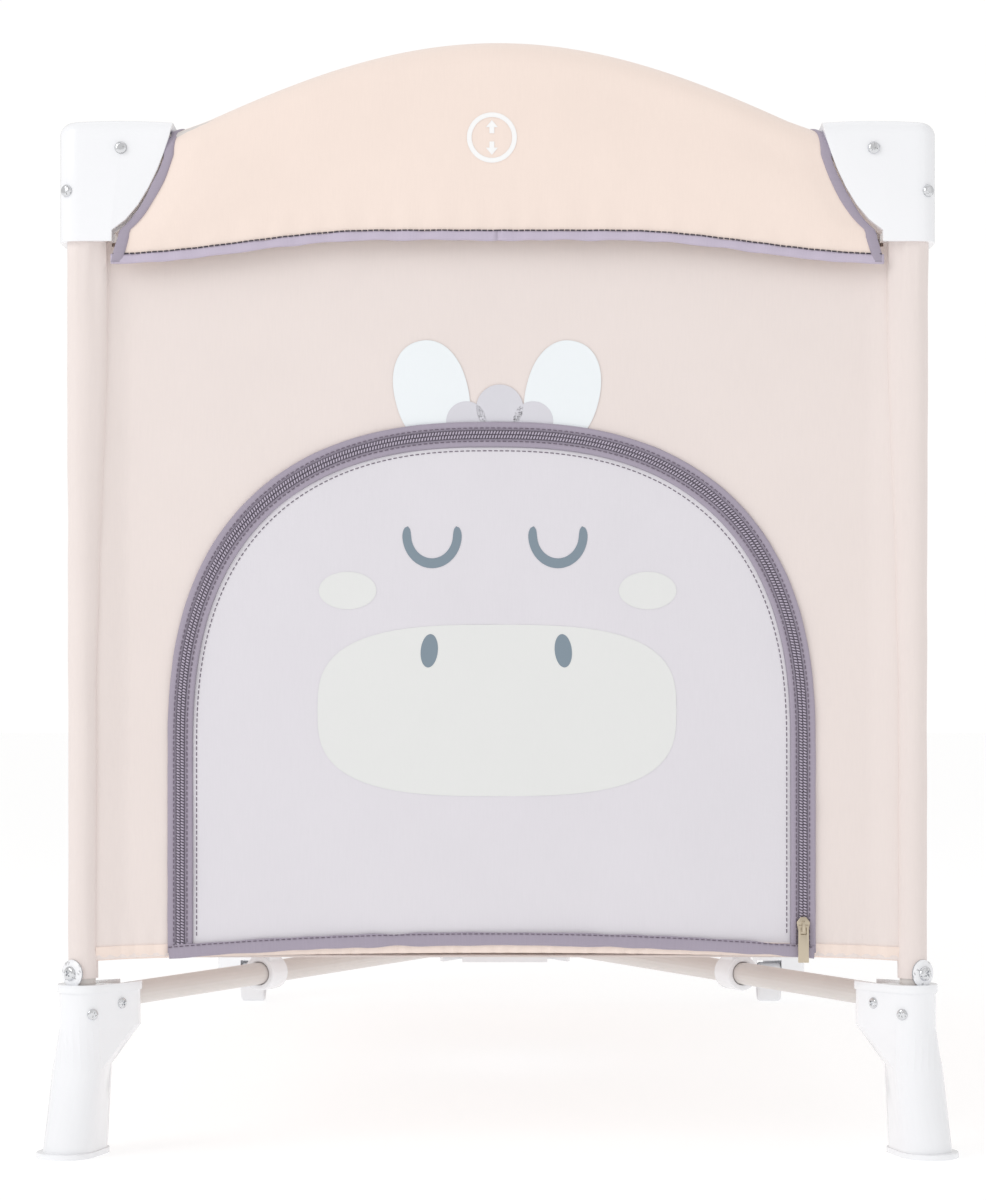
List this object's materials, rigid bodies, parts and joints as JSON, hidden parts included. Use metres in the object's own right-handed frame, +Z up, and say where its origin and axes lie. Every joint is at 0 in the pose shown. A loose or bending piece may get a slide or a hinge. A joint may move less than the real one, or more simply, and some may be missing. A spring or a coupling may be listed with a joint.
{
  "type": "folding playpen",
  "caption": "Folding travel cot playpen: white plastic corners and legs, fabric walls, arched end rails, zipped crawl door, central folding hub, wheeled rear legs.",
  "frame": {"origin": "on the floor, under the middle of the playpen", "axes": "+Z up, the zipped door end faces -Y, the wheel end faces +Y, +X to the right seen from the door end"},
  "size_m": [0.6878, 1.2618, 0.8305],
  "materials": {
    "white_plastic": "glossy moulded plastic",
    "painted_steel": "light grey powder coat",
    "bright_steel": "bright plated metal",
    "peach_cloth": "smooth woven polyester",
    "pink_cloth": "smooth woven polyester",
    "floor_cloth": "coated polyester",
    "lilac_cloth": "smooth woven polyester",
    "purple_tape": "woven tape and zip",
    "wheel_tyre": "moulded tyre",
    "webbing": "woven webbing",
    "mattress_cloth": "quilted polyester"
  },
  "bodies": {
    "corner_front_left": {"leg_front_left": "white_plastic", "post_front_left": "painted_steel", "corner_cap_front_left": "white_plastic", "wall_front": "pink_cloth", "wall_left": "pink_cloth", "zip_tape": "purple_tape"},
    "tube_front_left": {"base_tube_front_left": "painted_steel", "base_bracket_front_left": "white_plastic"},
    "hub": {"hub": "white_plastic", "hub_strap": "webbing", "floor_fabric": "floor_cloth"},
    "tube_front_right": {"base_tube_front_right": "painted_steel", "base_bracket_front_right": "white_plastic"},
    "corner_front_right": {"leg_front_right": "white_plastic", "post_front_right": "painted_steel", "corner_cap_front_right": "white_plastic", "wall_right": "pink_cloth"},
    "tube_rear_left": {"base_tube_rear_left": "painted_steel", "base_bracket_rear_left": "white_plastic"},
    "corner_rear_left": {"leg_rear_left": "white_plastic", "post_rear_left": "painted_steel", "corner_cap_rear_left": "white_plastic", "wall_rear": "pink_cloth", "wheel_axle_left": "bright_steel"},
    "tube_rear_right": {"base_tube_rear_right": "painted_steel", "base_bracket_rear_right": "white_plastic"},
    "corner_rear_right": {"leg_rear_right": "white_plastic", "post_rear_right": "painted_steel", "corner_cap_rear_right": "white_plastic", "wheel_axle_right": "bright_steel"},
    "wheel_left": {"wheel_left": "wheel_tyre"},
    "wheel_right": {"wheel_right": "wheel_tyre"},
    "mattress": {"mattress": "mattress_cloth"},
    "door": {"door_flap": "lilac_cloth"},
    "zip_end": {"zip_stop": "bright_steel"},
    "zip_slider": {"zip_slider": "bright_steel"},
    "zip_pull": {"zip_pull": "bright_steel"},
    "end_rail_front_left": {"end_rail_front_left": "painted_steel"},
    "rail_lock_front": {"rail_lock_front": "white_plastic", "rail_cover_front": "peach_cloth"},
    "end_rail_front_right": {"end_rail_front_right": "painted_steel"},
    "end_rail_rear_left": {"end_rail_rear_left": "painted_steel"},
    "rail_lock_rear": {"rail_lock_rear": "white_plastic", "rail_cover_rear": "peach_cloth"},
    "end_rail_rear_right": {"end_rail_rear_right": "painted_steel"},
    "side_rail_left_front": {"side_rail_left_front": "painted_steel"},
    "rail_lock_left": {"rail_lock_left": "white_plastic", "rail_cover_left": "peach_cloth"},
    "side_rail_left_rear": {"side_rail_left_rear": "painted_steel"},
    "side_rail_right_front": {"side_rail_right_front": "painted_steel"},
    "rail_lock_right": {"rail_lock_right": "white_plastic", "rail_cover_right": "peach_cloth"},
    "side_rail_right_rear": {"side_rail_right_rear": "painted_steel"},
    "release_button_front": {"release_button_front": "white_plastic"},
    "release_button_rear": {"release_button_rear": "white_plastic"},
    "release_button_left": {"release_button_left": "white_plastic"},
    "release_button_right": {"release_button_right": "white_plastic"}
  },
  "joints": [
    {"name": "fold", "type": "hinge", "parent": "corner_front_left", "child": "tube_front_left", "pos_m": [-0.287, -0.588, 0.1185], "axis": [0.8987, -0.4386, 0], "range_deg": [0, 82], "deforming": ["wall_front", "wall_rear", "wall_left", "wall_right", "rail_cover_front", "rail_cover_rear", "rail_cover_left", "rail_cover_right", "floor_fabric", "mattress", "door_flap", "zip_tape"]},
    {"name": "hub_level", "type": "hinge", "parent": "tube_front_left", "child": "hub", "pos_m": [-0.03948, -0.08088, 0.1185], "axis": [0.8987, -0.4386, 0], "range_deg": [-82.01, 0]},
    {"name": "fold_front_right", "type": "hinge", "parent": "hub", "child": "tube_front_right", "pos_m": [0.03948, -0.08088, 0.1185], "axis": [0.8987, 0.4386, 0], "range_deg": [0, 82.01]},
    {"name": "stand_front_right", "type": "hinge", "parent": "tube_front_right", "child": "corner_front_right", "pos_m": [0.287, -0.588, 0.1185], "axis": [0.8987, 0.4386, 0], "range_deg": [-82.01, 0]},
    {"name": "fold_rear_left", "type": "hinge", "parent": "hub", "child": "tube_rear_left", "pos_m": [-0.03948, 0.08088, 0.1185], "axis": [-0.8987, -0.4386, 0], "range_deg": [0, 82.01]},
    {"name": "stand_rear_left", "type": "hinge", "parent": "tube_rear_left", "child": "corner_rear_left", "pos_m": [-0.287, 0.588, 0.1185], "axis": [-0.8987, -0.4386, 0], "range_deg": [-82.01, 0]},
    {"name": "fold_rear_right", "type": "hinge", "parent": "hub", "child": "tube_rear_right", "pos_m": [0.03948, 0.08088, 0.1185], "axis": [-0.8987, 0.4386, 0], "range_deg": [0, 82.01]},
    {"name": "stand_rear_right", "type": "hinge", "parent": "tube_rear_right", "child": "corner_rear_right", "pos_m": [0.287, 0.588, 0.1185], "axis": [-0.8987, 0.4386, 0], "range_deg": [-82.01, 0]},
    {"name": "end_rail_front_left_fold", "type": "hinge", "parent": "corner_front_left", "child": "end_rail_front_left", "pos_m": [-0.279, -0.6144, 0.75], "axis": [0, 1, 0], "range_deg": [0, 81.72]},
    {"name": "rail_lock_front_level", "type": "hinge", "parent": "end_rail_front_left", "child": "rail_lock_front", "pos_m": [-0.03, -0.6144, 0.75], "axis": [0, 1, 0], "range_deg": [-81.72, 0]},
    {"name": "end_rail_front_right_fold", "type": "hinge", "parent": "rail_lock_front", "child": "end_rail_front_right", "pos_m": [0.03, -0.5936, 0.75], "axis": [0, 1, 0], "range_deg": [-81.72, 0]},
    {"name": "end_rail_rear_left_fold", "type": "hinge", "parent": "corner_rear_left", "child": "end_rail_rear_left", "pos_m": [-0.279, 0.6144, 0.75], "axis": [0, 1, 0], "range_deg": [0, 81.72]},
    {"name": "rail_lock_rear_level", "type": "hinge", "parent": "end_rail_rear_left", "child": "rail_lock_rear", "pos_m": [-0.03, 0.6144, 0.75], "axis": [0, 1, 0], "range_deg": [-81.72, 0]},
    {"name": "end_rail_rear_right_fold", "type": "hinge", "parent": "rail_lock_rear", "child": "end_rail_rear_right", "pos_m": [0.03, 0.5936, 0.75], "axis": [0, 1, 0], "range_deg": [-81.72, 0]},
    {"name": "side_rail_left_front_fold", "type": "hinge", "parent": "corner_front_left", "child": "side_rail_left_front", "pos_m": [-0.3154, -0.578, 0.75], "axis": [-1, 0, 0], "range_deg": [0, 82.01]},
    {"name": "rail_lock_left_level", "type": "hinge", "parent": "side_rail_left_front", "child": "rail_lock_left", "pos_m": [-0.3154, -0.07088, 0.75], "axis": [-1, 0, 0], "range_deg": [-82.01, 0]},
    {"name": "side_rail_left_rear_fold", "type": "hinge", "parent": "rail_lock_left", "child": "side_rail_left_rear", "pos_m": [-0.2946, 0.07088, 0.75], "axis": [-1, 0, 0], "range_deg": [-82.01, 0]},
    {"name": "side_rail_right_front_fold", "type": "hinge", "parent": "corner_front_right", "child": "side_rail_right_front", "pos_m": [0.3154, -0.578, 0.75], "axis": [-1, 0, 0], "range_deg": [0, 82.01]},
    {"name": "rail_lock_right_level", "type": "hinge", "parent": "side_rail_right_front", "child": "rail_lock_right", "pos_m": [0.3154, -0.07088, 0.75], "axis": [-1, 0, 0], "range_deg": [-82.01, 0]},
    {"name": "side_rail_right_rear_fold", "type": "hinge", "parent": "rail_lock_right", "child": "side_rail_right_rear", "pos_m": [0.2946, 0.07088, 0.75], "axis": [-1, 0, 0], "range_deg": [-82.01, 0]},
    {"name": "mattress_lift", "type": "slide", "parent": "hub", "child": "mattress", "axis": [0, 0, 1], "range_m": [0, 0.06791]},
    {"name": "zip_end_slide", "type": "slide", "parent": "corner_front_left", "child": "zip_end", "axis": [1, 0, 0], "range_m": [-0.37054, 0]},
    {"name": "zip_slide", "type": "slide", "parent": "zip_end", "child": "zip_slider", "axis": [0, 0, 1], "range_m": [0, 0.13]},
    {"name": "zip_pull_swing", "type": "hinge", "parent": "zip_slider", "child": "zip_pull", "pos_m": [0.228, -0.6124, 0.1721], "axis": [-1, 0, 0], "range_deg": [0, 120]},
    {"name": "door_open", "type": "hinge", "parent": "corner_front_left", "child": "door", "pos_m": [0, -0.603, 0.153], "axis": [1, 0, 0], "range_deg": [0, 100]},
    {"name": "press_front", "type": "slide", "parent": "rail_lock_front", "child": "release_button_front", "axis": [0, 0, 1], "range_m": [0, 0.006], "stiffness_N_per_m": 400, "springref_m": -0.004},
    {"name": "press_rear", "type": "slide", "parent": "rail_lock_rear", "child": "release_button_rear", "axis": [0, 0, 1], "range_m": [0, 0.006], "stiffness_N_per_m": 400, "springref_m": -0.004},
    {"name": "press_left", "type": "slide", "parent": "rail_lock_left", "child": "release_button_left", "axis": [0, 0, 1], "range_m": [0, 0.006], "stiffness_N_per_m": 400, "springref_m": -0.004},
    {"name": "press_right", "type": "slide", "parent": "rail_lock_right", "child": "release_button_right", "axis": [0, 0, 1], "range_m": [0, 0.006], "stiffness_N_per_m": 400, "springref_m": -0.004},
    {"name": "wheel_left_spin", "type": "hinge", "parent": "corner_rear_left", "child": "wheel_left", "pos_m": [-0.292, 0.585, 0.022], "axis": [1, 0, 0], "continuous": true},
    {"name": "wheel_right_spin", "type": "hinge", "parent": "corner_rear_right", "child": "wheel_right", "pos_m": [0.292, 0.585, 0.022], "axis": [1, 0, 0], "continuous": true}
  ],
  "couplings": [
    {"joint": "hub_level", "follows": "fold", "ratio": -1},
    {"joint": "fold_front_right", "follows": "fold", "ratio": 1},
    {"joint": "stand_front_right", "follows": "fold", "ratio": -1},
    {"joint": "fold_rear_left", "follows": "fold", "ratio": 1},
    {"joint": "stand_rear_left", "follows": "fold", "ratio": -1},
    {"joint": "fold_rear_right", "follows": "fold", "ratio": 1},
    {"joint": "stand_rear_right", "follows": "fold", "ratio": -1},
    {"joint": "end_rail_front_left_fold", "follows": "fold", "ratio": 0.9964},
    {"joint": "rail_lock_front_level", "follows": "fold", "ratio": -0.9964},
    {"joint": "end_rail_front_right_fold", "follows": "fold", "ratio": -0.9964},
    {"joint": "end_rail_rear_left_fold", "follows": "fold", "ratio": 0.9964},
    {"joint": "rail_lock_rear_level", "follows": "fold", "ratio": -0.9964},
    {"joint": "end_rail_rear_right_fold", "follows": "fold", "ratio": -0.9964},
    {"joint": "side_rail_left_front_fold", "follows": "fold", "ratio": 1},
    {"joint": "rail_lock_left_level", "follows": "fold", "ratio": -1},
    {"joint": "side_rail_left_rear_fold", "follows": "fold", "ratio": -1},
    {"joint": "side_rail_right_front_fold", "follows": "fold", "ratio": 1},
    {"joint": "rail_lock_right_level", "follows": "fold", "ratio": -1},
    {"joint": "side_rail_right_rear_fold", "follows": "fold", "ratio": -1},
    {"joint": "mattress_lift", "follows": "fold", "m_per_rad": 0.0471},
    {"joint": "zip_end_slide", "follows": "fold", "m_per_rad": -0.2586}
  ]
}
